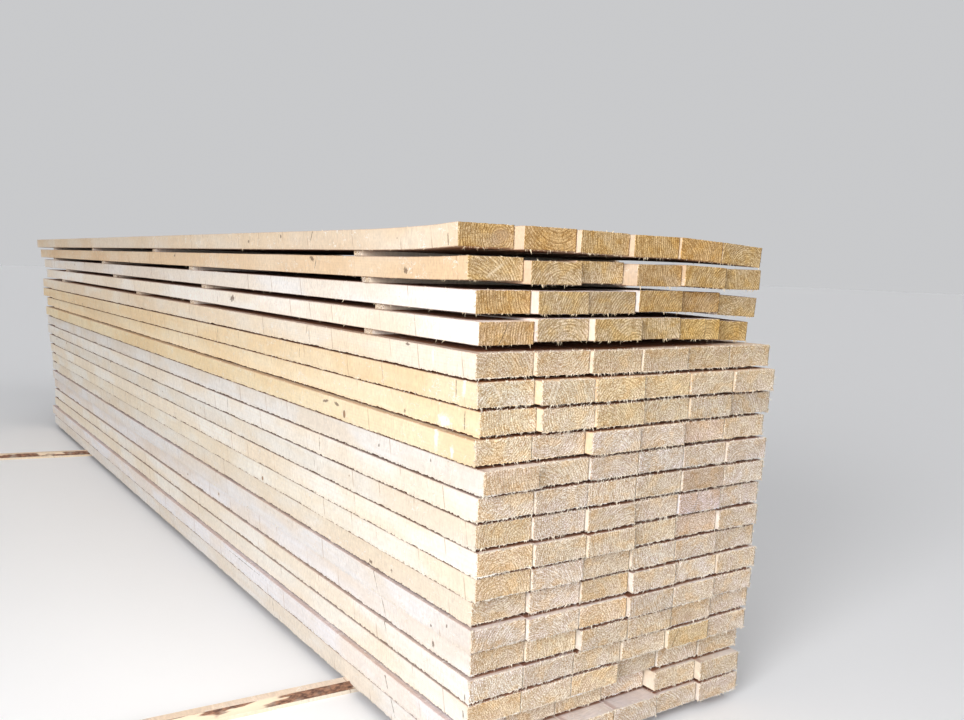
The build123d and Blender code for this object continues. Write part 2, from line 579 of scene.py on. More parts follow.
@dataclass
class MeshDraft:
    """Collects the points, faces and wood values of one mesh until it is made."""

    points: list[Array] = field(default_factory=list)
    corners: list[Array] = field(default_factory=list)
    sides: list[Array] = field(default_factory=list)
    slots: list[Array] = field(default_factory=list)
    values: dict[str, list[Array]] = field(default_factory=dict)
    count: int = 0
    sharp_angle: float = 38.0

    def add_points(self, points: Array, values: dict[str, Array]) -> int:
        """Add points with the values that the finishes read.

        Args:
            points: one point per row.
            values: rows of three numbers by name, as many as there are points.

        Returns:
            The number of the first point.
        """
        first = self.count
        self.points.append(points)
        for name, rows in values.items():
            self.values.setdefault(name, []).append(rows)
        self.count += len(points)
        return first

    def add_faces(self, faces: Array, slot: Slot) -> None:
        """Add faces that all have the same number of sides.

        Args:
            faces: point numbers, one face per row.
            slot: the material slot of these faces.
        """
        self.corners.append(faces.ravel())
        self.sides.append(np.full(len(faces), faces.shape[1]))
        self.slots.append(np.full(len(faces), slot.value))

    def make(self, name: str, materials: list[bpy.types.Material]) -> bpy.types.Object:
        """Make the object.

        Args:
            name: name of the piece.
            materials: one material per slot.

        Returns:
            The object, linked to the scene.
        """
        sides = np.concatenate(self.sides)
        corners = np.concatenate(self.corners).astype(np.int32)
        mesh = bpy.data.meshes.new(name)
        mesh.vertices.add(self.count)
        mesh.vertices.foreach_set("co", np.concatenate(self.points).astype(np.float32).ravel())
        mesh.loops.add(len(corners))
        mesh.loops.foreach_set("vertex_index", corners)
        mesh.polygons.add(len(sides))
        starts = np.concatenate([[0], np.cumsum(sides)[:-1]]).astype(np.int32)
        mesh.polygons.foreach_set("loop_start", starts)
        mesh.polygons.foreach_set("material_index", np.concatenate(self.slots).astype(np.int32))
        for key, rows in self.values.items():
            attribute = mesh.attributes.new(key, "FLOAT_VECTOR", "POINT")
            attribute.data.foreach_set("vector", np.concatenate(rows).astype(np.float32).ravel())
        for material in materials:
            mesh.materials.append(material)
        mesh.update(calc_edges=True)
        mesh.validate()
        mesh.shade_smooth()
        mesh.set_sharp_from_angle(angle=math.radians(self.sharp_angle))
        return link_object(name, mesh)


@dataclass(frozen=True)
class Cover:
    """How far the course above reaches over a plank, as places in the plank's own terms; the long-face
    finish paints shade where it is covered.
    """

    near: float = -99.0
    far: float = 99.0
    left: float = 99.0
    right: float = -99.0

    def depths(self, along: Array, across: Array) -> Array:
        """Columns of the depths behind its near end, inside its long side and inside the rest."""
        rest = np.minimum(along - self.far, self.right - across)
        return columns(self.near - along, across - self.left, rest)


@dataclass(frozen=True)
class Habit:
    """The wood inside one bar: its place in the log, its rings, its tint and its saw cut."""

    seed: int
    pith: tuple[float, float]
    pith_run: tuple[float, float]
    ring_gap: float
    face_tint: Colour
    end_tint: Colour
    saw_turn: float
    heart_radius: float = 0.0
    heart_amount: float = 0.0
    check: tuple[float, float, float] | None = None
    pale_streaks: int = 0
    marks: tuple[FaceMark, ...] = ()
    cover: Cover = Cover()
    log_offset: float = 7.31

    def split(self, across: Array, up: Array) -> Array:
        """Measure places on an end from its check.

        Args:
            across: places across the bar.
            up: places up it.

        Returns:
            Columns of the distance off it, the place along it and its kind.
        """
        if self.check is None:
            return columns(np.ones_like(across), 1.0, 0.0)
        turn = math.radians(self.check[2])
        reach_across = across - self.check[0] * MM
        reach_up = up - self.check[1] * MM
        off = reach_across * math.sin(turn) - reach_up * math.cos(turn)
        run = reach_across * math.cos(turn) + reach_up * math.sin(turn)
        return columns(off, run, 1.0 + self.pale_streaks)

    def values(self, along: Array, across: Array, up: Array) -> dict[str, Array]:
        """Work out what the finishes read at some places in the bar.

        Args:
            along: places along the bar.
            across: places across its width.
            up: places up its thickness.

        Returns:
            Rows of three numbers by name.
        """
        ones = np.ones_like(along)
        from_pith = (
            across - self.pith[0] - self.pith_run[0] * along,
            up - self.pith[1] - self.pith_run[1] * along,
        )
        values = {
            "grain": columns(along + self.log_offset * self.seed, *from_pith),
            "section": columns(across, up, self.saw_turn),
            "habit": columns(ones * self.ring_gap, self.heart_radius, self.heart_amount),
            "split": self.split(across, up),
            "gap_shade_depths": self.cover.depths(along, across),
            "face_tint": ones[:, None] * np.array(self.face_tint),
            "end_tint": ones[:, None] * np.array(self.end_tint),
        }
        for index, name in enumerate(MARK_NAMES):
            mark = self.marks[index] if index < len(self.marks) else FaceMark()
            values[name] = mark.offsets(along, up)
        return values


@dataclass(frozen=True)
class Fuzz:
    """Sizes of the splinters in one place, in mm."""

    bulk: float
    usual: float
    shortest: float
    longest: float
    longest_above: float
    chip: tuple[float, float]
    hair: tuple[float, float]
    chip_share: float = 0.4

    def lengths(self, rng: np.random.Generator, clump: Array, above: Array) -> Array:
        """Choose the lengths of some splinters.

        Args:
            rng: source of the lengths.
            clump: from -1 to 1, how thick the fuzz is at each.
            above: whether each is on the upper side.

        Returns:
            The lengths.
        """
        length = rng.gamma(self.bulk, self.usual, len(clump)) * MM
        length = length * (1.0 + 0.9 * np.clip(clump, -0.7, 1.0))
        longest = np.where(above, self.longest_above, self.longest)
        return np.clip(length, self.shortest * MM, longest * MM)

    def widths(self, rng: np.random.Generator, count: int) -> Array:
        """Choose widths, some of them those of broad chips.

        Args:
            rng: source of the widths.
            count: how many.

        Returns:
            The widths at the root.
        """
        is_chip = rng.uniform(0, 1, count) < self.chip_share
        return np.where(is_chip, rng.uniform(*self.chip, count), rng.uniform(*self.hair, count)) * MM


END_FUZZ = Fuzz(2.2, 1.8, 1.4, 11.0, 6.5, chip=(2.2, 4.4), hair=(0.8, 1.8))
SIDE_FUZZ = Fuzz(2.0, 1.7, 1.2, 10.0, 4.0, chip=(1.8, 3.2), hair=(0.7, 1.6))


@dataclass(frozen=True)
class Wear:
    """How torn the saw left a bar: its bites, its fringe and how many splinters it has."""

    bite: float
    fringe: float = 0.0
    fibres: int = 0
    side_fibres: int = 0
    top_share: float = 0.0


SPACER_WEAR = Wear(bite=1.2 * MM)
GREEN_WEAR = Wear(3.6 * MM, 3.2 * MM, 230, 420, 0.32)
FIRM_WEAR = replace(GREEN_WEAR, fringe=2.4 * MM)
DRY_WEAR = Wear(1.6 * MM, 0.0, 36, 120, 0.06)


@dataclass(frozen=True)
class SawnSkin:
    """Builds the surface of one sawn bar: torn arrises, rough cross-cuts and loose fibres."""

    draft: MeshDraft
    bar: Bar
    habit: Habit
    wear: Wear
    fuzzy_side: int = 0
    room: tuple[Array, Array] | None = None
    near_step: float = 3.0 * MM
    far_step: float = 7.0 * MM
    body_step: float = 160.0 * MM
    arris: float = 1.5 * MM
    ragged: float = 0.9 * MM
    cut_relief: float = 0.9 * MM
    slant: float = 1.6 * MM
    ledge: float = 0.7 * MM
    wander: float = 0.5 * MM
    side_run: float = 2.6
    fringe_run: float = 5.0
    far_rings: tuple[float, ...] = (1.2, 4.0, 12.0)
    near_rings: tuple[float, ...] = (1.2, 2.6, 5.0, 9.0, 16.0, 30.0)

    def lines(self, wide: int, narrow: int) -> tuple[Array, Array]:
        """Lay places along the flats of the wide and the narrow sides.

        Args:
            wide: runs of the wide side.
            narrow: runs of the narrow side.

        Returns:
            The places across and the places up.
        """
        flat_width = self.bar.half_width - self.arris
        flat_depth = self.bar.half_depth - self.arris
        line_across = np.linspace(-flat_width, flat_width, wide + 1)
        return line_across, np.linspace(-flat_depth, flat_depth, narrow + 1)

    def ring(self, step: float) -> tuple[Array, Array, int, int]:
        """Lay points round the section, from its lower left and against the clock.

        Args:
            step: how far apart the points are.

        Returns:
            Places across, places up, and the runs of the wide and the narrow sides.
        """
        wide = max(2, round((self.bar.width - 2 * self.arris) / step))
        narrow = max(1, round((self.bar.thickness - 2 * self.arris) / step))
        line_across, line_up = self.lines(wide, narrow)
        right = np.full(narrow + 1, self.bar.half_width)
        top = np.full(wide + 1, self.bar.half_depth)
        across = np.concatenate([line_across, right, line_across[::-1], -right])
        up = np.concatenate([-top, line_up, top, line_up[::-1]])
        return across, up, wide, narrow

    def pulled_in(self, across: Array, up: Array, pull: Array | float) -> tuple[Array, Array]:
        """Draw ring points in from the faces that they lie on.

        Args:
            across: places across the bar.
            up: places up it.
            pull: how far each is drawn in.

        Returns:
            The new places across and up.
        """
        on_side = np.abs(across) > self.bar.half_width - TOUCH
        on_flat = np.abs(up) > self.bar.half_depth - TOUCH
        return across - np.sign(across) * pull * on_side, up - np.sign(up) * pull * on_flat

    def add_row(self, along: Array, across: Array, up: Array) -> int:
        """Add points at some places in the bar, and return the number of the first."""
        points = self.bar.place(along, across, up)
        return self.draft.add_points(points, self.habit.values(along, across, up))

    def cut(self, across: Array, up: Array, end: int) -> Array:
        """Work out how deep the rough cross-cut lies behind the plank's full length.

        Args:
            across: places across the end.
            up: places up the end.
            end: 1 for the near end, -1 for the far one.

        Returns:
            Depths, none of them negative.
        """
        seed = self.habit.seed + 0.37 * end
        lean = drift(np.array([seed, seed + 9.5]), 3.1)
        span = across / self.bar.width * lean[0] + up / self.bar.thickness * lean[1]
        turn = self.habit.saw_turn
        stroke = across * math.cos(turn) + up * math.sin(turn)
        along = up * math.cos(turn) - across * math.sin(turn)
        rough = relief(stroke / (2.6 * MM), along / (9.0 * MM), seed)
        broad = relief(across / (17 * MM), up / (15 * MM), seed + 2.2)
        step_at = 0.3 * self.bar.width * drift(np.array([seed + 4.4]), 8.8)[0]
        step = 1 / (1 + np.exp(-(stroke - step_at) / (0.7 * MM)))
        depth = self.slant * (0.5 + 0.5 * span)
        depth = depth + self.cut_relief * (1.0 + 0.55 * rough + 0.45 * broad)
        return np.maximum(depth + self.ledge * step, 0.0)

    def bites(self, across: Array, seed: float) -> Array:
        """Depth of the torn places along an edge where splinters have come away."""
        torn = drift(across / (7.0 * MM), seed) + 0.6 * drift(across / (3.1 * MM), seed + 5)
        return self.wear.bite * np.clip(torn - 0.35, 0.0, 1.0)

    def end_zone(self, end: int, step: float, rings: tuple[float, ...]) -> float:
        """Build one cross-cut end with the torn wood round it.

        Args:
            end: 1 for the near end, -1 for the far one.
            step: how far apart the points are.
            rings: how far behind the cut each ring of points lies, in mm.

        Returns:
            Where the zone stops along the bar.
        """
        tip = self.bar.tip(end)
        across, up, wide, narrow = self.ring(step)
        count = len(across)
        seed = self.habit.seed + 0.5 * end
        nibble = self.ragged * (0.5 + 0.5 * drift(np.arange(count) * step / (4.2 * MM), seed))
        nibble = nibble * np.where(np.abs(up) > self.bar.half_depth - TOUCH, 1.0, 0.8)
        low_bite = np.where(up <= -self.bar.half_depth + TOUCH, self.bites(across, seed), 0.0)
        high_bite = np.where(up >= self.bar.half_depth - TOUCH, self.bites(across, seed + 1), 0.0)
        base_depth = self.cut(across, up, end)
        starts = []
        for index, back in enumerate(rings):
            fade = 1.0 - index / (len(rings) - 1)
            torn = fade ** 1.6
            ring_across, ring_up = self.pulled_in(across, up, nibble * torn)
            ring_up = ring_up + torn * (low_bite - high_bite)
            along = tip - end * (back * MM + base_depth * fade)
            starts.append(self.add_row(along, ring_across, ring_up))
        self.join_rings(starts, count, end)
        self.cap(end, step, starts[0], (wide, narrow), (low_bite, high_bite))
        return tip - end * rings[-1] * MM

    def join_rings(self, starts: list[int], count: int, end: int) -> None:
        """Join rings of points, the first nearest to the end, with bands of faces.

        Args:
            starts: first point of each ring.
            count: points in each ring.
            end: 1 for the near end, -1 for the far one.
        """
        here = np.arange(count)
        after = (here + 1) % count
        for first, second in zip(starts[:-1], starts[1:]):
            faces = columns(first + here, second + here, second + after, first + after)
            self.draft.add_faces(faces[:, ::end], Slot.FACE)

    def cap(
        self,
        end: int,
        step: float,
        ring_start: int,
        runs: tuple[int, int],
        bites: tuple[Array, Array],
    ) -> None:
        """Close an end with the rough cross-cut face.

        Args:
            end: 1 for the near end, -1 for the far one.
            step: how far apart the points are.
            ring_start: first point of the ring round the cut.
            runs: runs of the wide and the narrow sides of that ring.
            bites: depth of the torn places at each ring point, below and above.
        """
        wide, narrow = runs
        inner_depth = self.bar.half_depth - self.arris
        across, up = np.meshgrid(*self.lines(wide, narrow))
        top_start = wide + narrow + 2
        low = bites[0][: wide + 1] * np.clip(1 - (up + inner_depth) / (3 * step), 0, 1)
        high = bites[1][top_start : top_start + wide + 1][::-1]
        high = high * np.clip(1 - (inner_depth - up) / (3 * step), 0, 1)
        across, up = across.ravel(), (up + low - high).ravel()
        depth = self.cut(across, up, end) + 0.6 * (low + high).ravel()
        start = self.add_row(self.bar.tip(end) - end * depth, across, up)
        grid = start + np.arange((wide + 1) * (narrow + 1)).reshape(narrow + 1, wide + 1)
        squares = (grid[:-1, :-1], grid[:-1, 1:], grid[1:, 1:], grid[1:, :-1])
        border = np.concatenate([grid[0], grid[:, -1], grid[-1][::-1], grid[:, 0][::-1]])
        here = np.arange(len(border))
        after = (here + 1) % len(border)
        rim = columns(border, ring_start + here, ring_start + after, border[after])
        corner = border == border[after]
        for faces in (columns(*(part.ravel() for part in squares)), rim[~corner], rim[corner][:, :3]):
            self.draft.add_faces(faces[:, ::end], Slot.END)

    def body(self, start: float, stop: float) -> None:
        """Build the long faces between the two ends, with arrises that wander a little.

        Args:
            start: where the near end's zone stops.
            stop: where the far end's zone stops.
        """
        across, up, _, _ = self.ring(self.bar.thickness)
        spans = max(3, round((start - stop) / self.body_step))
        rows = []
        for index, place in enumerate(np.linspace(start, stop, spans + 1)):
            wander = 0.0 if index in (0, spans) else self.wander
            key = place / (60 * MM) + np.sign(across) * 31.7 + np.sign(up) * 13.1
            pull = wander * (0.5 + 0.5 * drift(key, self.habit.seed + 0.9))
            rows.append(self.add_row(np.full(len(up), place), *self.pulled_in(across, up, pull)))
        self.join_rings(rows, len(up), 1)

    def tufts(
        self,
        rng: np.random.Generator,
        place: tuple[Array, Array, Array],
        heading: Array,
        length: Array,
        fuzz: Fuzz,
    ) -> None:
        """Add slim pointed splinters with three sides.

        Args:
            rng: source of their widths and turns.
            place: places of their roots along, across and up the bar.
            heading: where they point, one row each.
            length: their lengths.
            fuzz: their sizes.
        """
        count = len(length)
        heading = heading / np.linalg.norm(heading, axis=1)[:, None]
        width = fuzz.widths(rng, count)
        side = np.cross(heading, rng.normal(0, 1, (count, 3)))
        side /= np.linalg.norm(side, axis=1)[:, None]
        other = np.cross(heading, side)
        turns = np.array([0.0, 2.094, 4.189])[None, :, None]
        spokes = side[:, None, :] * np.cos(turns) + other[:, None, :] * np.sin(turns)
        roots = self.bar.place(*place)
        base = roots[:, None, :] + spokes * (width / 2)[:, None, None]
        tip = roots + heading * length[:, None]
        points = np.concatenate([base, tip[:, None, :]], axis=1).reshape(-1, 3)
        points = np.clip(points, *self.room)
        values = self.habit.values(*(np.repeat(part, 4) for part in place))
        start = self.draft.add_points(points, values) + 4 * np.arange(count)
        for corner in range(3):
            wall = columns(start + corner, start + (corner + 1) % 3, start + 3)
            self.draft.add_faces(wall, Slot.FIBRE)

    def splinters(self) -> None:
        """Add the fuzz that the cross-cut left round the near end."""
        rng = np.random.default_rng(self.habit.seed * 17 + 5)
        half_width, half_depth = self.bar.half_width, self.bar.half_depth
        count = self.wear.fibres
        top_share = self.wear.top_share
        edge = rng.choice(4, size=count, p=(0.72 - top_share, top_share, 0.14, 0.14))
        spread = rng.uniform(-1, 1, count)
        clump = drift(spread * half_width / (9 * MM) + 20 * edge, self.habit.seed + 0.6)
        across = np.select([edge < 2, edge == 2], [spread * half_width, half_width], -half_width)
        up = np.select([edge == 0, edge == 1], [-half_depth, half_depth], spread * half_depth)
        out_across = np.select([edge == 2, edge == 3], [1.0, -1.0], 0.0)
        out_up = np.select([edge == 0, edge == 1], [-1.0, 1.0], 0.0)
        length = END_FUZZ.lengths(rng, clump, edge == 1)
        flow = rng.normal(0, 0.6, count)
        heading = columns(
            rng.uniform(-0.35, 0.5, count),
            out_across * 0.7 + flow * (1 - np.abs(out_across)),
            out_up * 0.8 + flow * (1 - np.abs(out_up)) - 0.2,
        )
        along = self.bar.tip(1) - rng.uniform(1.2, 3.4, count) * MM - self.slant
        place = (along, across - out_across * MM, up - out_up * MM)
        self.tufts(rng, place, heading, length, END_FUZZ)

    def side_splinters(self) -> None:
        """Add torn fibres along the two arrises of the outer long face, behind the near end."""
        rng = np.random.default_rng(self.habit.seed * 23 + 11)
        count = self.wear.side_fibres
        back = self.side_run * rng.uniform(0.0, 1.0, count) ** 1.3
        clump = drift(back / (60 * MM), self.habit.seed + 0.2)
        edge = np.where(rng.uniform(0, 1, count) < 0.7, -1.0, 1.0)
        across = np.full(count, self.fuzzy_side * (self.bar.half_width - 0.9 * MM))
        up = edge * (self.bar.half_depth - 1.0 * MM)
        length = SIDE_FUZZ.lengths(rng, clump, edge > 0)
        forward = rng.normal(0, 0.6, count)
        heading = columns(forward, self.fuzzy_side * rng.uniform(0.1, 0.7, count), edge * 0.8 - 0.15)
        along = self.bar.tip(1) - 3 * MM - back
        self.tufts(rng, (along, across, up), heading, length, SIDE_FUZZ)

    def side_fringe(self) -> None:
        """Hang a torn fringe from the lower arris of the outer long face."""
        back = [2.0 * MM]
        while back[-1] < self.fringe_run:
            back.append(back[-1] + 4.5 * MM + 0.0035 * back[-1])
        back = np.array(back)
        side = self.fuzzy_side
        seed = self.habit.seed + 0.31
        torn = 0.45 * drift(back / (3.7 * MM), seed) + 0.25 * drift(back / (55 * MM), seed + 3)
        hang = 1.5 * self.wear.fringe * np.clip(0.95 + torn, -0.2, 1.7)
        lean = 0.7 * MM * drift(back / (6.0 * MM), seed + 6)
        root = np.full(len(back), side * (self.bar.half_width - 0.35 * MM))
        tip = root - side * (0.5 * MM + lean)
        self.ribbon(self.bar.tip(1) - back, (root, tip), 1.6 * MM, hang)

    def end_fringe(self) -> None:
        """Hang a torn fringe from the lower edge of the near end."""
        reach = self.bar.half_width - 1 * MM
        across = np.linspace(-reach, reach, round(self.bar.width / (2.4 * MM)))
        seed = self.habit.seed + 0.77
        torn = 0.9 * drift(across / (2.9 * MM), seed) + 0.55 * drift(across / (21 * MM), seed + 3)
        hang = self.wear.fringe * np.clip(torn - 0.1, -0.2, 1.8)
        low = np.full(len(across), -self.bar.half_depth)
        along = self.bar.tip(1) - self.cut(across, low, 1) - 0.8 * MM
        self.ribbon(along, (across, across), 1.8 * MM, hang)

    def ribbon(
        self, along: Array, across: tuple[Array, Array], grip: float, hang: Array
    ) -> None:
        """Hang a thin strip of torn wood from the underside.

        Args:
            along: places along the bar, the same for both rows of points.
            across: places across it, of the root and of the tip.
            grip: how far above the underside the root is.
            hang: how far below it the tip is.
        """
        root, tip = (
            self.add_row(along, place, np.full(len(along), -self.bar.half_depth + rise))
            for place, rise in zip(across, (grip, -hang))
        )
        here = np.arange(len(along) - 1)
        faces = columns(root + here, tip + here, tip + here + 1, root + here + 1)
        self.draft.add_faces(faces, Slot.FACE)

    def build(self) -> None:
        """Build the whole bar."""
        start = self.end_zone(1, self.near_step, self.near_rings)
        stop = self.end_zone(-1, self.far_step, self.far_rings)
        self.body(start, stop)
        if self.wear.fibres:
            self.splinters()
        if self.fuzzy_side:
            self.side_splinters()
        if self.wear.fringe:
            self.end_fringe()
            if self.fuzzy_side:
                self.side_fringe()


@dataclass(frozen=True)
class Wire:
    """A value in a node graph. Each sum with it adds the node that works it out."""

    sketch: NodeSketch
    socket: bpy.types.NodeSocket

    def __add__(self, other: Wire | float) -> Wire:
        """Sum of both."""
        return self.sketch.math("ADD", self, other)

    def __sub__(self, other: Wire | float) -> Wire:
        """Difference of both."""
        return self.sketch.math("SUBTRACT", self, other)

    def __mul__(self, other: Wire | float) -> Wire:
        """Product of both."""
        return self.sketch.math("MULTIPLY", self, other)

    def __truediv__(self, other: Wire | float) -> Wire:
        """Quotient of both."""
        return self.sketch.math("DIVIDE", self, other)

    def __abs__(self) -> Wire:
        """Size without the sign."""
        return self.sketch.math("ABSOLUTE", self)

    def remap(self, low: float, high: float, new_low: float = 0.0, new_high: float = 1.0) -> Wire:
        """Ease the value from one range into another, held at both ends."""
        given = dict(enumerate((self, low, high, new_low, new_high)))
        return self.sketch.add("MapRange", given, interpolation_type="SMOOTHSTEP")

    def parts(self) -> tuple[Wire, ...]:
        """The three parts of a vector."""
        first = self.sketch.add("SeparateXYZ", {0: self})
        return first, first.sibling(1), first.sibling(2)

    def sibling(self, output: int | str) -> Wire:
        """Another output of the same node."""
        return Wire(self.sketch, self.socket.node.outputs[output])

    def mix(self, share: Wire | float, other: Wire | Colour) -> Wire:
        """This colour with a share of another."""
        return self.sketch.mix(share, self, other)

    def tint(self, other: Wire | Colour, share: Wire | float = 1.0) -> Wire:
        """This colour times another, where the share is 1."""
        return self.sketch.mix(share, self, other, "MULTIPLY")


Inputs = dict[int | str, Wire | float | tuple]


class NodeSketch:
    """Draws the node graph of one material or sky."""

    def __init__(self, owner: bpy.types.Material | bpy.types.World) -> None:
        """Start with an empty graph.

        Args:
            owner: the material or sky.
        """
        self.owner = owner
        owner.use_nodes = True
        self.tree = owner.node_tree
        self.tree.nodes.clear()

    @classmethod
    def material(cls, name: str) -> NodeSketch:
        """Start the graph of a new material."""
        return cls(bpy.data.materials.new(name))

    def node(self, kind: str, inputs: Inputs, **settings: str) -> bpy.types.Node:
        """Add one node.

        Args:
            kind: its type, without the start that all have.
            inputs: wires or plain values by the number or the name of the input.
            settings: its own settings by name.

        Returns:
            The node.
        """
        node = self.tree.nodes.new(f"ShaderNode{kind}")
        for name, setting in settings.items():
            setattr(node, name, setting)
        for key, value in inputs.items():
            socket = node.inputs[key]
            if isinstance(value, Wire):
                self.tree.links.new(value.socket, socket)
            else:
                socket.default_value = (*value, 1.0) if socket.type == "RGBA" else value
        return node

    def add(self, kind: str, inputs: Inputs, output: int | str = 0, **settings: str) -> Wire:
        """Add one node and take one of its outputs."""
        return Wire(self, self.node(kind, inputs, **settings).outputs[output])

    def attribute(self, name: str) -> Wire:
        """Read three numbers that the mesh holds at each point."""
        return self.add("Attribute", {}, "Vector", attribute_name=name)

    def join(self, *parts: Wire | float) -> Wire:
        """Put a vector together from two or three parts."""
        return self.add("CombineXYZ", dict(enumerate(parts)))

    def math(self, operation: str, *numbers: Wire | float) -> Wire:
        """Do one sum, by the name of its operation."""
        return self.add("Math", dict(enumerate(numbers)), operation=operation)

    def mix(
        self, share: Wire | float, first: Wire | Colour, second: Wire | Colour, kind: str = "MIX"
    ) -> Wire:
        """Blend two colours in some way, as far as the share says."""
        return self.add("Mix", {0: share, 6: first, 7: second}, 2, data_type="RGBA", blend_type=kind)

    def noise(
        self,
        place: tuple[Wire | float, ...],
        scale: tuple[float, float, float] | None = None,
        detail: float = 2.0,
        roughness: float = 0.55,
    ) -> Wire:
        """Noise that changes about once per unit of a place.

        Args:
            place: where to read it, as two or three numbers.
            scale: how often it changes per unit in each direction, if not once.
            detail: how many finer layers it has.
            roughness: how strong these are.

        Returns:
            A number, about 0.5 on average.
        """
        if scale is not None:
            place = tuple(part * factor for part, factor in zip(place, scale))
        given = {"Vector": self.join(*place), "Scale": 1.0, "Detail": detail, "Roughness": roughness}
        return self.add("TexNoise", given)

    def finish(
        self,
        colour: Wire | Colour,
        roughness: float,
        height: Wire | None = None,
        depth: float = 0.0,
        strength: float = 1.0,
    ) -> bpy.types.Material:
        """Close the graph with the wood's shader.

        Args:
            colour: base colour.
            roughness: how matt it is.
            height: height of the surface, which tilts it.
            depth: what a height of 1 is, in metres.
            strength: how much of the tilt shows.

        Returns:
            The finished material.
        """
        given = {"Base Color": colour, "Roughness": roughness, "Specular IOR Level": 0.25}
        if height is not None:
            tilt = {"Strength": strength, "Distance": depth, "Height": height}
            given["Normal"] = self.add("Bump", tilt)
        self.node("OutputMaterial", {0: self.add("BsdfPrincipled", given)})
        return self.owner

    def seen_directly(self) -> Wire:
        """Tell whether the camera or a mirror-like surface looks at this, as 1 or 0."""
        camera = self.add("LightPath", {}, "Is Camera Ray")
        return self.math("MAXIMUM", camera, camera.sibling("Is Glossy Ray"))


@dataclass(frozen=True)
class RingField:
    """What the log's growth gives at a place in the wood."""

    late: Wire
    radius: Wire
    angle: Wire
    knot: Wire
    knot_rim: Wire
    halo: Wire


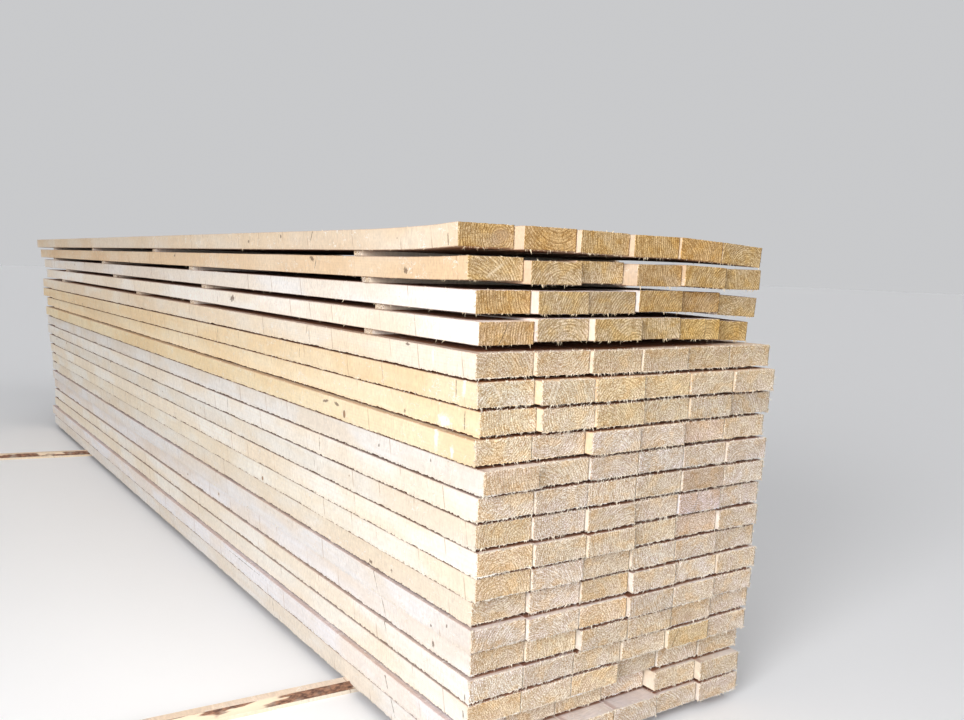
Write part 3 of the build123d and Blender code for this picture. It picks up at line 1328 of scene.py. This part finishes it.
@dataclass(frozen=True)
class PineFinish:
    """Colours of one kind of sawn pine, on its long faces and on its cross-cut ends."""

    name: str
    face_light: Colour
    face_warm: Colour
    face_late: Colour
    knot_core: Colour
    end_dark: Colour
    end_light: Colour
    end_late: Colour
    heart: Colour
    fibre: Colour
    ring_contrast: float
    end_grit: float
    end_warm: Colour
    end_cool: Colour
    half_width: float
    face_contrast: float = 0.14
    knot_rim: Colour = (0.1, 0.06, 0.04)
    # painted shade on the faces that point up or down
    wide_face_shade: Colour = (0.86, 0.81, 0.82)
    # painted shade on the ledges along the long side
    side_ledge_shade: Colour = (0.66, 0.53, 0.5)
    # painted shade in the gaps under the course above
    gap_shade: Colour = (0.4, 0.15, 0.05)
    edge_shadow: float = 0.7
    stain_dark: Colour = (0.16, 0.1, 0.07)
    # pale curled fibres, and the painted highlights of PALE marks
    pale_fibre_and_highlight: Colour = (0.98, 0.96, 0.93)
    bark_dark: Colour = (0.11, 0.06, 0.045)
    bark_red: Colour = (0.36, 0.19, 0.12)
    bark_grey: Colour = (0.42, 0.35, 0.29)
    knots_along: float = 3.1
    knots_round: float = 0.95

    def rings(self, sketch: NodeSketch) -> RingField:
        """Draw the rings and knots of the log that the plank was cut from.

        Args:
            sketch: the material's graph.

        Returns:
            What the finishes use.
        """
        x, y, z = sketch.attribute("grain").parts()
        gap = sketch.attribute("habit").parts()[0]
        radius = sketch.math("SQRT", y * y + z * z)
        angle = sketch.math("ARCTAN2", z, y)
        cell_x = x * self.knots_along
        cell_y = angle * self.knots_round
        given = {"Vector": sketch.join(cell_x, cell_y), "Scale": 1.0}
        spots = sketch.add("TexVoronoi", given, "Position", voronoi_dimensions="2D")
        spot_x, spot_y, _ = spots.parts()
        size_pick, show_pick, _ = spots.sibling("Color").parts()
        off_x = (cell_x - spot_x) / self.knots_along
        off_y = (cell_y - spot_y) / self.knots_round * radius
        shows = sketch.math("GREATER_THAN", show_pick, 0.8)
        size = shows * size_pick.remap(0.0, 1.0, 0.0015, 0.0062) + 0.00001
        share = sketch.math("SQRT", off_x * off_x + off_y * off_y) / size
        knot = share.remap(1.02, 0.86)
        rim = share.remap(1.25, 1.0) * share.remap(0.6, 0.98)
        halo = share.remap(3.4, 0.9) * shows
        warped = sketch.noise((x, y, z), (1.7, 26.0, 26.0)) * 0.006 + radius
        phase = (halo * size * 0.9 + warped) / gap
        part = sketch.math("FRACT", phase)
        year = sketch.noise((sketch.math("FLOOR", phase), 3.7, 1.3), detail=0.0)
        late = part.remap(0.35, 0.75) * part.remap(1.0, 0.9) * year.remap(0.25, 0.7, 0.35, 1.0)
        return RingField(late, radius, angle, knot, rim, halo)

    def sawn_face(self) -> bpy.types.Material:
        """Make the finish of the long faces: grain, knots and upright saw marks, with painted shade on
        the faces that point up or down and in the gaps, and painted highlights among the single marks.

        Returns:
            The material.
        """
        sketch = NodeSketch.material(f"{self.name}_face")
        field = self.rings(sketch)
        grain = sketch.attribute("grain").parts()
        across, up, _ = sketch.attribute("section").parts()
        face = (grain[0], across, up)
        leaning = (up * 0.12 + (across * 0.07 + grain[0]), across, up)
        patches = sketch.noise(grain, (2.3, 7.0, 7.0))
        blotch = sketch.noise(face, (9.0, 45.0, 45.0), 3.0)
        fibre = sketch.noise(grain, (14.0, 420.0, 420.0)) - 0.5
        saw = sketch.noise(leaning, (190.0, 40.0, 48.0), 1.0, 0.7) - 0.5
        saw = saw * sketch.noise(face, (7.0, 9.0, 9.0), 1.0).remap(0.35, 0.65, 0.25, 1.5)
        streak = sketch.noise(leaning, (17.0, 2.0, 2.0), 3.0, 0.6) - 0.5
        stain = sketch.noise(face, (1.1, 3.0, 3.0), 1.0)
        torn = sketch.noise(face, (120.0, 60.0, 110.0), 2.0, 0.7) - 0.5
        colour = sketch.mix(patches.remap(0.4, 0.6), self.face_light, self.face_warm)
        colour = colour.mix(stain.remap(0.5, 0.68, 0.0, 0.45), self.face_late)
        colour = colour.mix(field.late * self.face_contrast, self.face_late)
        colour = colour.mix(blotch.remap(0.4, 0.75, 0.0, 0.3), self.face_warm)
        value = saw * 0.3 + torn * 0.34 + streak * 0.16 + fibre * 0.07 + 1.0
        colour = colour.tint(sketch.join(value, value, value)).tint(sketch.attribute("face_tint"))
        # Painted shade: faces that point up or down are tinted darker and pinker than the sides.
        level = abs(sketch.add("NewGeometry", {}, "True Normal").parts()[2]).remap(0.5, 0.9, 0.0, 0.85)
        colour = colour.tint(self.wide_face_shade, level)
        # Painted shade: the wide faces near the long-side edge are tinted darker brown.
        colour = colour.tint(self.side_ledge_shade, across.remap(-0.055, -0.068, 0.0, 0.8) * level)
        # Painted shade: wide faces that the course above covers are tinted deep red-brown, as the
        # shade deep in the gaps between courses.
        behind, inside, within = sketch.attribute("gap_shade_depths").parts()
        gap_shade_mask = behind.remap(0.0, 0.007) * inside.remap(0.001, 0.012) * within.remap(0.001, 0.012)
        colour = colour.tint(self.gap_shade, gap_shade_mask * level)
        colour = self.hairs(sketch, face, colour)
        colour = colour.mix(field.halo * 0.3, self.face_late)
        colour = colour.mix(field.knot, self.knot_core)
        colour = colour.mix(field.knot_rim * 0.6, self.knot_rim)
        ragged = torn * 2.6
        on_side = across.remap(-0.0695, -0.0705)
        for name in MARK_NAMES:
            colour = self.mark(sketch, name, colour, ragged, on_side)
        height = saw * 1.2 + fibre * 0.4 + blotch * 0.5 + field.late * 0.15
        return sketch.finish(colour, 0.8, height, 0.45 * MM, 0.5)

    def hairs(self, sketch: NodeSketch, place: tuple[Wire, ...], colour: Wire) -> Wire:
        """Scatter thin dark drips and fine curled fibres over a sawn face.

        Args:
            sketch: the material's graph.
            place: where on the face, as three numbers.
            colour: the wood under them.

        Returns:
            The colour with the fibres.
        """
        given = {"W": place[0] * 5.0 + place[2], "Scale": 1.0}
        settings = {"voronoi_dimensions": "1D", "feature": "DISTANCE_TO_EDGE"}
        lines = sketch.add("TexVoronoi", given, "Distance", **settings)
        part = sketch.noise(place, (4.0, 4.0, 14.0), 1.0).remap(0.46, 0.62, 0.0, 0.6)
        colour = colour.mix(lines.remap(0.013, 0.004) * part, self.knot_core)
        curl = sketch.noise(place, (58.0, 58.0, 90.0), 1.0)
        where = sketch.noise(place, (24.0, 24.0, 40.0), 1.0).remap(0.57, 0.62)
        dark = abs(curl - 0.445).remap(0.024, 0.008)
        pale = abs(curl - 0.5).remap(0.03, 0.008)
        return colour.mix(dark * where * 0.38, self.face_late).mix(pale * where * 0.6, self.pale_fibre_and_highlight)

    def mark(self, sketch: NodeSketch, name: str, colour: Wire, ragged: Wire, on_side: Wire) -> Wire:
        """Put one single mark on the long side: a dark knot, a dark run or a painted highlight, a pale
        patch of light.

        Args:
            sketch: the material's graph.
            name: name of the mark's values.
            colour: the wood under it.
            ragged: what makes its outline uneven.
            on_side: 1 on the long side, 0 elsewhere.

        Returns:
            The colour with the mark.
        """
        level, square, stain = sketch.attribute(name).parts()
        reach = sketch.math("SQRT", level * level + square * square) + ragged
        spot = reach.remap(1.3, 0.5) * on_side * stain.remap(0.0, 1.0, 0.0, 0.8)
        # PALE marks paint a highlight, a pale patch of light, in the pale fibre colour.
        is_pale = sketch.math("GREATER_THAN", stain, 2.5)
        return colour.mix(spot, sketch.mix(is_pale, self.stain_dark, self.pale_fibre_and_highlight))

    def end_grain(self) -> bpy.types.Material:
        """Make the finish of the cross-cut ends: rings, torn fibres and saw strokes.

        Returns:
            The material.
        """
        sketch = NodeSketch.material(f"{self.name}_end")
        field = self.rings(sketch)
        across, up, turn = sketch.attribute("section").parts()
        plank = sketch.math("FLOOR", sketch.attribute("grain").parts()[0] * 0.137)
        given = {"Vector": sketch.join(across, up), "Angle": turn}
        stroke_across, stroke_up, _ = sketch.add("VectorRotate", given, rotation_type="Z_AXIS").parts()
        grains = sketch.noise((across * 400.0, up * 340.0, plank), None, 1.5, 0.7) - 0.5
        strokes = sketch.noise((stroke_across * 290.0, stroke_up * 120.0, plank), None, 2.0, 0.6) - 0.5
        curved = sketch.noise((field.radius * 230.0, field.angle * 5.0, plank), None, 1.5, 0.6) - 0.5
        hue = sketch.noise((across * 21.0, up * 26.0, plank))
        shade = sketch.noise((across * 13.0, up * 19.0, hue), None, 1.0) - 0.5
        tone = grains * self.end_grit + strokes * 1.3 + curved * 1.6 + shade + 0.56
        colour = sketch.mix(tone.remap(0.0, 1.0), self.end_dark, self.end_light)
        colour = colour.mix(field.late * self.ring_contrast, self.end_late)
        colour = colour.tint(self.end_warm, hue.remap(0.51, 0.63))
        colour = colour.tint(self.end_cool, hue.remap(0.48, 0.37)).tint(sketch.attribute("end_tint"))
        _, heart_radius, heart_amount = sketch.attribute("habit").parts()
        reach = (hue - 0.5) * 0.02 + field.radius
        reach = reach / sketch.math("MAXIMUM", heart_radius, 0.0001)
        colour = colour.mix(reach.remap(1.15, 0.5) * heart_amount, self.heart)
        edge = across.remap(self.half_width - 4.4 * MM, self.half_width - 2.0 * MM)
        edge = edge * hue.remap(0.36, 0.5, 0.4, 1.0)
        colour = colour.mix(edge * self.edge_shadow, self.knot_rim)
        off, run, kind = sketch.attribute("split").parts()
        gape = off + strokes * 0.003
        reach = abs(run).remap(0.029, 0.019)
        is_pale = sketch.math("GREATER_THAN", kind, 1.5)
        is_dark = sketch.math("MINIMUM", kind, 1.0) - is_pale
        crack = abs(gape).remap(0.0009, 0.0003) * reach * is_dark
        colour = colour.mix(crack * 0.7, self.knot_rim)
        torn = grains * 0.008 + gape
        beside = torn + sketch.math("LESS_THAN", kind, 2.5) + 0.012
        streak = sketch.math("MINIMUM", abs(torn), abs(beside)).remap(0.0045, 0.0005)
        colour = colour.mix(streak * reach * is_pale * 0.55, self.fibre)
        height = grains * 0.9 + strokes + field.late * 0.35 - crack * 2.0
        return sketch.finish(colour, 0.88, height, 1.8 * MM, 0.95)

    def loose_fibre(self) -> bpy.types.Material:
        """Make the finish of torn fibres and splinters.

        Returns:
            The material.
        """
        sketch = NodeSketch.material(f"{self.name}_fibre")
        shade = sketch.noise(sketch.attribute("grain").parts(), (180.0, 180.0, 180.0), 1.0)
        value = shade.remap(0.3, 0.7, 0.7, 1.04)
        return sketch.finish(sketch.join(value, value, value).tint(self.fibre), 0.9)

    def bark(self) -> bpy.types.Material:
        """Make the finish of the waney edge: scaly bark with bare wood where it has come off.

        Returns:
            The material.
        """
        sketch = NodeSketch.material(f"{self.name}_bark")
        across, up, _ = sketch.attribute("section").parts()
        place = (sketch.attribute("grain").parts()[0], across, up)
        scales = sketch.noise(place, (60.0, 150.0, 150.0), 3.0, 0.65)
        patches = sketch.noise(place, (11.0, 22.0, 22.0))
        stripped = sketch.noise(place, (5.0, 26.0, 26.0), 3.0, 0.6).remap(0.53, 0.58)
        colour = sketch.mix(scales.remap(0.35, 0.65), self.bark_dark, self.bark_red)
        colour = colour.mix(patches.remap(0.5, 0.65, 0.0, 0.8), self.bark_grey)
        colour = colour.mix(stripped, self.face_late)
        return sketch.finish(colour, 0.92, scales - stripped * 0.8, 1.6 * MM, 0.8)

    def materials(self) -> list[bpy.types.Material]:
        """Make all finishes in the order of the material slots."""
        return [self.sawn_face(), self.end_grain(), self.loose_fibre()]


GREEN_PINE = PineFinish(
    name="green_pine",
    face_light=(0.94, 0.88, 0.8),
    face_warm=(0.92, 0.8, 0.65),
    face_late=(0.82, 0.66, 0.49),
    knot_core=(0.4, 0.24, 0.14),
    end_dark=(0.45, 0.295, 0.165),
    end_light=(1.0, 0.92, 0.8),
    end_late=(0.6, 0.43, 0.27),
    heart=(0.5, 0.33, 0.2),
    fibre=(0.94, 0.85, 0.71),
    ring_contrast=0.6,
    end_grit=3.9,
    end_warm=(1.02, 0.95, 0.84),
    end_cool=(1.01, 1.01, 1.07),
    half_width=75.0 * MM,
)

DRY_PINE = PineFinish(
    name="dry_pine",
    face_light=(0.94, 0.87, 0.77),
    face_warm=(0.92, 0.79, 0.63),
    face_late=(0.8, 0.63, 0.45),
    knot_core=(0.38, 0.22, 0.12),
    end_dark=(0.34, 0.205, 0.075),
    end_light=(0.83, 0.65, 0.4),
    end_late=(0.36, 0.22, 0.088),
    heart=(0.42, 0.29, 0.19),
    fibre=(0.9, 0.75, 0.53),
    ring_contrast=0.72,
    end_grit=2.4,
    end_warm=(1.0, 0.93, 0.76),
    end_cool=(1.0, 1.02, 1.12),
    half_width=72.0 * MM,
)


@dataclass
class Dressing:
    """A group of bars that is built from its node and stands in its place."""

    node: bpy.types.Object
    materials: list[bpy.types.Material]

    slot = "spacer_lath"

    def dress(self, piece: bpy.types.Object) -> None:
        """Put the piece on the root body and hide the node that it stands for.

        Args:
            piece: the dressed piece.
        """
        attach(piece, "root")
        self.slot
        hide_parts(self.node.name)


@dataclass
class CourseOfPlanks(Dressing):
    """One course of six planks, dressed as rough-sawn pine."""

    number: int
    room: tuple[Array, Array]
    above: bpy.types.Object | None
    # painted shade on the faces of all planks but the outer one of the long side
    inner_shade_tint: Colour = (0.91, 0.9, 0.9)
    ring_gaps: tuple[float, float] = (5.0 * MM, 7.4 * MM)
    # how far behind the near end of an upper course the painted gap shade stays off
    lit_depth: float = 28.0 * MM
    outer_step: float = 45.0 * MM
    inner_step: float = 260.0 * MM

    @property
    def dry(self) -> bool:
        """Whether this is one of the upper courses."""
        return self.number >= FIRST_DRY_COURSE

    @property
    def slot(self) -> str:
        """Material slot of the course."""
        return "dry_sawn_pine" if self.dry else "green_sawn_pine"

    @property
    def wear(self) -> Wear:
        """How torn its planks are."""
        return DRY_WEAR if self.dry else FIRM_WEAR if self.number >= FIRST_FIRM_COURSE else GREEN_WEAR

    @property
    def look(self) -> CourseLook:
        """What sets this course apart."""
        return COURSE_LOOKS[self.number]

    def covers(self, bars: list[Bar]) -> list[Cover]:
        """Find how far the course above reaches over each plank.

        Args:
            bars: the planks of this course.

        Returns:
            What the course above covers of each.
        """
        if self.above is None:
            return [Cover()] * len(bars)
        lit_depth = self.lit_depth if self.number + 1 >= FIRST_DRY_COURSE else 0.0
        upper = [read_plank(points) for points in loose_pieces(self.above)]
        left = upper[0].stations[0].side - upper[0].half_width + 0.4 * lit_depth
        right = upper[-1].stations[0].side + upper[0].half_width
        middles = [bar.stations[0].side for bar in bars]
        return [
            Cover(over.tip(1) - lit_depth, over.tip(-1), left - middle, right - middle)
            for middle, over in zip(middles, upper)
        ]

    def habit(self, column: int, cover: Cover, rng: np.random.Generator) -> Habit:
        """Choose the wood of one plank.

        Args:
            column: the plank's place in the course, from 1 at the long side.
            cover: how far the course above reaches over it.
            rng: source of what isn't given.

        Returns:
            The plank's habit.
        """
        look = self.look.planks.get(column, PlankLook())
        growth = look.growth or rng.choice(np.array(list(Growth), dtype=object))
        pith = np.array(growth.value) * MM + rng.normal(0, 9 * MM, 2)
        jitter = 1 + rng.normal(0, 0.035)
        warmth = rng.normal(0, 0.025)
        shade = np.array([jitter * (1 + warmth / 3), jitter, jitter * (1 - 1.6 * warmth)])
        end = np.array(look.tone.value) * self.look.end_tint * shade * (1 + rng.normal(0, 0.03))
        face = shade * self.look.face_tint
        return Habit(
            seed=10 * self.number + column,
            pith=tuple(pith),
            pith_run=(rng.normal(0, 0.006), rng.normal(0, 0.004)),
            ring_gap=rng.uniform(*self.ring_gaps),
            # painted shade: the faces of inner planks are dimmed
            face_tint=tuple(face * self.inner_shade_tint if column > 1 else face),
            end_tint=tuple(end),
            saw_turn=rng.normal(0.12, 0.16),
            heart_radius=look.heart_radius * MM,
            heart_amount=look.heart_amount,
            check=look.check,
            pale_streaks=look.pale_streaks,
            marks=tuple(FaceMark(*row) for row in self.look.marks) if column == 1 else (),
            cover=cover,
        )

    def build(self) -> bpy.types.Object:
        """Build all planks of the course as one mesh.

        Returns:
            The dressed course.
        """
        draft = MeshDraft()
        rng = np.random.default_rng(COURSE_SEED + self.number)
        bars = [read_plank(points) for points in loose_pieces(self.node)]
        outer_sides = {1: -1, len(bars): 1}
        for column, (bar, cover) in enumerate(zip(bars, self.covers(bars)), start=1):
            outer = outer_sides.get(column, 0)
            skin = SawnSkin(
                draft=draft,
                bar=bar,
                habit=self.habit(column, cover, rng),
                wear=self.wear,
                fuzzy_side=outer,
                room=self.room,
                body_step=self.outer_step if outer else self.inner_step,
            )
            skin.build()
        return draft.make(f"planks_{self.number:02d}", self.materials)


@dataclass
class SpacerRow(Dressing):
    """One row of laths or stickers between two courses."""

    seed: int

    def build(self) -> bpy.types.Object:
        """Build all spacers of the row as one mesh.

        Returns:
            The dressed row.
        """
        draft = MeshDraft()
        rng = np.random.default_rng(self.seed)
        for index, points in enumerate(loose_pieces(self.node)):
            shade = 1 + rng.normal(0, 0.04)
            habit = Habit(
                seed=self.seed + index,
                pith=(rng.normal(0, 0.04), rng.normal(0.05, 0.02)),
                pith_run=(0.01, 0.004),
                ring_gap=4.4 * MM,
                face_tint=(shade, shade, shade),
                end_tint=(shade, shade, shade),
                saw_turn=0.2,
            )
            skin = SawnSkin(
                draft=draft,
                bar=read_spacer(points),
                habit=habit,
                wear=SPACER_WEAR,
                near_step=2.8 * MM,
                body_step=240 * MM,
                near_rings=(1.2, 6.0, 20.0),
                far_rings=(1.2, 12.0),
                arris=0.7 * MM,
                ragged=0.5 * MM,
                cut_relief=0.3 * MM,
                slant=2.0 * MM,
            )
            skin.build()
        return draft.make(f"{self.node.name}_dressed", self.materials)


@dataclass(frozen=True)
class BattenLie:
    """Where one batten lies: its middle, its direction, the one across it, and its wood."""

    draft: MeshDraft
    middle: Array
    ahead: Array
    aside: Array
    habit: Habit
    mid_height: float = 15.0 * MM

    def add_section(self, place: float, section: Array) -> int:
        """Add the points of one section.

        Args:
            place: where it is along the batten.
            section: its points, across and up.

        Returns:
            The number of the first point.
        """
        flat = self.middle + place * self.ahead + section[:, :1] * self.aside
        along = np.full(len(section), place)
        values = self.habit.values(along, section[:, 0], section[:, 1] - self.mid_height)
        return self.draft.add_points(np.concatenate([flat, section[:, 1:]], axis=1), values)


@dataclass
class WaneyBattens(Dressing):
    """The two battens on the floor, each with bark left on one upper edge."""

    seed: int = BATTEN_SEED
    step: float = 20.0 * MM
    outline_step: float = 5.0 * MM
    flake: float = 1.8 * MM

    slot = "waney_batten"

    def outline(self, section: Array) -> tuple[Array, Array]:
        """Lay points round the section and tell which of them are on the bark.

        Args:
            section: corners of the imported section, across and up.

        Returns:
            The points, against the clock, and a share of bark for each.
        """
        order = np.argsort(np.arctan2(*(section - section.mean(axis=0)).T[::-1]))
        corners = section[order]
        right, top = section.max(axis=0)
        edge_low = section[section[:, 0] > right - 1e-5][:, 1].max()
        edge_high = section[section[:, 1] > top - 1e-5][:, 0].max()
        points = []
        for corner, after in zip(corners, np.roll(corners, -1, axis=0)):
            parts = max(1, math.ceil(np.linalg.norm(after - corner) / self.outline_step))
            points.extend(corner + (after - corner) * part / parts for part in range(parts))
        points = np.array(points)
        on_bark = (points[:, 0] > edge_high + 1e-5) & (points[:, 1] > edge_low + 1e-5)
        return points, on_bark.astype(float)

    def worn_section(self, outline: Array, bark: Array, place: float, seed: int) -> Array:
        """Wear a section's outline in, most where it has bark.

        Args:
            outline: its points, across and up.
            bark: share of bark at each.
            place: where the section is along the batten.
            seed: chooses the wear.

        Returns:
            The worn points.
        """
        inward = outline.mean(axis=0) - outline
        inward /= np.linalg.norm(inward, axis=1)[:, None]
        run = np.arange(len(outline)) * self.outline_step
        here = np.full(len(outline), place)
        scaly = 0.5 + 0.5 * relief(here / (24 * MM), run / (6 * MM), seed)
        pitted = 0.5 + 0.5 * relief(here / (90 * MM), run / (11 * MM), seed + 1)
        worn = 0.25 * MM * (0.5 + 0.5 * drift(here / (40 * MM) + run * 90, seed + 2))
        pull = bark * self.flake * (0.65 * scaly + 0.35 * pitted) + worn * (outline[:, 1] > 1e-4)
        return outline + inward * pull[:, None]

    def build_one(self, draft: MeshDraft, points: Array, seed: int) -> None:
        """Build one batten from the points of its solid.

        Args:
            draft: the mesh to add to.
            points: the solid's distinct points.
            seed: chooses its wood.
        """
        flat = points[:, :2]
        middle = (flat.max(axis=0) + flat.min(axis=0)) / 2
        spread = flat - flat.mean(axis=0)
        ahead = np.linalg.eigh(spread.T @ spread)[1][:, -1]
        ahead = ahead if ahead[1] > 0 else -ahead
        aside = np.array([ahead[1], -ahead[0]])
        habit = Habit(
            seed=seed,
            pith=(-0.05, -0.03),
            pith_run=(0.004, 0.002),
            ring_gap=4.6 * MM,
            face_tint=(1.0, 0.96, 0.9),
            end_tint=(0.96, 0.94, 0.9),
            saw_turn=0.3,
        )
        lie = BattenLie(draft, middle, ahead, aside, habit)
        along = (flat - middle) @ ahead
        low, high = float(along.min()), float(along.max())
        first = np.abs(along - low) < 1e-4
        outline, bark = self.outline(columns(((flat - middle) @ aside)[first], points[first, 2]))
        rows = [
            lie.add_section(place, self.worn_section(outline, bark, place, seed))
            for place in np.linspace(low, high, round((high - low) / self.step) + 1)
        ]
        here = np.arange(len(outline))
        after = (here + 1) % len(outline)
        scaly_side = (bark + bark[after]) > 0
        for start, following in zip(rows[:-1], rows[1:]):
            faces = columns(start + here, following + here, following + after, start + after)
            draft.add_faces(faces[~scaly_side], Slot.FACE)
            draft.add_faces(faces[scaly_side], Slot.BARK)
        for row, place, turn in ((rows[0], low, 1), (rows[-1], high, -1)):
            tip = lie.add_section(place, outline.mean(axis=0)[None, :])
            draft.add_faces(columns(row + here, row + after, tip)[:, ::turn], Slot.END)

    def build(self) -> bpy.types.Object:
        """Build both battens as one mesh.

        Returns:
            The dressed battens.
        """
        draft = MeshDraft()
        for index, points in enumerate(loose_pieces(self.node)):
            self.build_one(draft, points, self.seed + index)
        return draft.make(f"{self.node.name}_dressed", self.materials)


@dataclass
class Studio:
    """The plain floor, the soft light and the camera at the viewing angle of the picture."""

    floor_reach: float = 80.0
    floor_colour: Colour = (0.93, 0.932, 0.945)
    floor_bounce: Colour = (0.3, 0.27, 0.25)
    backdrop: Colour = (0.583, 0.588, 0.6)
    sky_colour: Colour = (0.97, 0.98, 1.0)
    sky_low: float = 0.2
    sky_high: float = 0.27
    corner_lamp_size: float = 1.8
    corner_lamp_power: float = 84.0
    corner_lamp_place: tuple[float, float, float] = (4.25, -2.7, 1.75)
    corner_lamp_aim: tuple[float, float, float] = (2.4, 0.1, 0.45)
    focal_length: float = 33.74
    sensor: float = 36.0
    eye: tuple[float, float, float] = (4.2137, -1.1968, 1.1658)
    yaw: float = 145.53
    pitch: float = 12.05
    roll: float = 1.83
    rise: float = 0.1024
    sight: float = 200.0

    def build_floor(self) -> None:
        """Lay a plain pale floor that throws little light back under the planks."""
        reach = self.floor_reach
        mesh = bpy.data.meshes.new("floor")
        corners = [(-reach, -reach, 0), (reach, -reach, 0), (reach, reach, 0), (-reach, reach, 0)]
        mesh.from_pydata(corners, [], [(0, 1, 2, 3)])
        sketch = NodeSketch.material("pale_floor")
        colour = sketch.mix(sketch.seen_directly(), self.floor_bounce, self.floor_colour)
        mesh.materials.append(sketch.finish(colour, 0.95))
        floor = link_object("floor", mesh)
        floor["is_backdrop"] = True

    def build_sky(self) -> None:
        """Set a sky that lights from above and looks pale behind the stack."""
        world = bpy.data.worlds.new("sky")
        bpy.context.scene.world = world
        sketch = NodeSketch(world)
        height = sketch.add("TexCoord", {}, "Generated").parts()[2]
        strength = height.remap(0.0, 0.85, self.sky_low, self.sky_high)
        soft = sketch.add("Background", {"Color": self.sky_colour, "Strength": strength})
        seen = sketch.add("Background", {"Color": self.backdrop})
        choice = sketch.add("MixShader", {0: sketch.seen_directly(), 1: soft, 2: seen})
        sketch.node("OutputWorld", {0: choice})

    def hang_lamp(self, name: str, light: bpy.types.Light, beam: Vector) -> bpy.types.Object:
        """Put a lamp in the scene and turn it.

        Args:
            name: name of the lamp.
            light: its light.
            beam: where it shines to.

        Returns:
            The lamp.
        """
        lamp = link_object(name, light)
        lamp.rotation_mode = "QUATERNION"
        lamp.rotation_quaternion = beam.to_track_quat("-Z", "Y")
        return lamp

    def far_lamp(
        self, name: str, bearing: float, elevation: float, strength: float, spread: float
    ) -> None:
        """Set a soft lamp so far away that it lights the whole stack evenly.

        Args:
            name: name of the lamp.
            bearing: degrees from the long side's own direction, towards the near ends.
            elevation: degrees above the floor.
            strength: light on a surface that faces the lamp.
            spread: degrees of sky that it fills, which softens its shadows.
        """
        light = bpy.data.lights.new(name, "SUN")
        light.angle = math.radians(spread)
        light.energy = strength
        turn, rise = math.radians(bearing), math.radians(elevation)
        level = math.cos(rise)
        beam = Vector((-math.sin(turn) * level, math.cos(turn) * level, -math.sin(rise)))
        self.hang_lamp(name, light, beam)

    def build_lamps(self) -> None:
        """Set far lamps for the side, the ends and the top, and one near the corner."""
        self.far_lamp("long_side_lamp", 20.0, 17.0, 1.13, 24.0)
        self.far_lamp("end_lamp", 97.0, 19.0, 1.12, 40.0)
        self.far_lamp("top_lamp", 60.0, 76.0, 0.55, 60.0)
        light = bpy.data.lights.new("corner_lamp", "AREA")
        light.size = self.corner_lamp_size
        light.energy = self.corner_lamp_power
        place = Vector(self.corner_lamp_place)
        lamp = self.hang_lamp("corner_lamp", light, Vector(self.corner_lamp_aim) - place)
        lamp.location = place

    def build_camera(self) -> None:
        """Set the camera where the picture was taken from."""
        yaw, pitch, roll = (math.radians(angle) for angle in (self.yaw, self.pitch, self.roll))
        forward = Vector(
            (math.cos(yaw) * math.cos(pitch), math.sin(yaw) * math.cos(pitch), -math.sin(pitch))
        )
        right = forward.cross(Vector((0, 0, 1))).normalized()
        up = right.cross(forward)
        level_right = math.cos(roll) * right + math.sin(roll) * up
        level_up = -math.sin(roll) * right + math.cos(roll) * up
        turn = Matrix((level_right, level_up, -forward)).transposed()
        data = bpy.data.cameras.new("camera")
        data.sensor_width = self.sensor
        data.lens = self.focal_length
        data.shift_y = self.rise
        data.clip_end = self.sight
        camera = link_object("camera", data)
        camera.matrix_world = Matrix.Translation(Vector(self.eye)) @ turn.to_4x4()
        bpy.context.scene.camera = camera

    def build(self) -> None:
        """Build the whole studio."""
        self.build_floor()
        self.build_sky()
        self.build_lamps()
        self.build_camera()
        bpy.context.scene.view_settings.view_transform = "Standard"


def clear_scene() -> None:
    """Remove what a new file starts with."""
    for thing in list(bpy.data.objects):
        bpy.data.objects.remove(thing)


def main() -> None:
    """Load the frame, build the studio, and dress every piece of the stack."""
    logging.basicConfig(level=logging.INFO, format="%(name)s: %(message)s")
    clear_scene()
    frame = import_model()
    cad_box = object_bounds()
    nodes = frame["nodes"]
    room = (np.array(cad_box[0]), np.array(cad_box[1]))
    Studio().build()
    green = GREEN_PINE.materials()
    dry = DRY_PINE.materials()
    groups: list[CourseOfPlanks | SpacerRow | WaneyBattens] = []
    for name in sorted(nodes):
        if name.startswith("course_"):
            number = int(name[-2:])
            wood = dry if number >= FIRST_DRY_COURSE else green
            above = nodes.get(f"course_{number + 1:02d}")
            groups.append(CourseOfPlanks(nodes[name], wood, number, room, above))
    for index, name in enumerate(sorted(nodes)):
        if name.startswith(("laths_", "stickers_")):
            groups.append(SpacerRow(nodes[name], green, SPACER_SEED + 10 * index))
    groups.append(WaneyBattens(nodes["floor_battens"], [*green, GREEN_PINE.bark()]))
    for group in groups:
        piece = group.build()
        group.dress(piece)
        LOG.info("%s has %d faces", piece.name, len(piece.data.polygons))


if __name__ == "__main__":
    main()
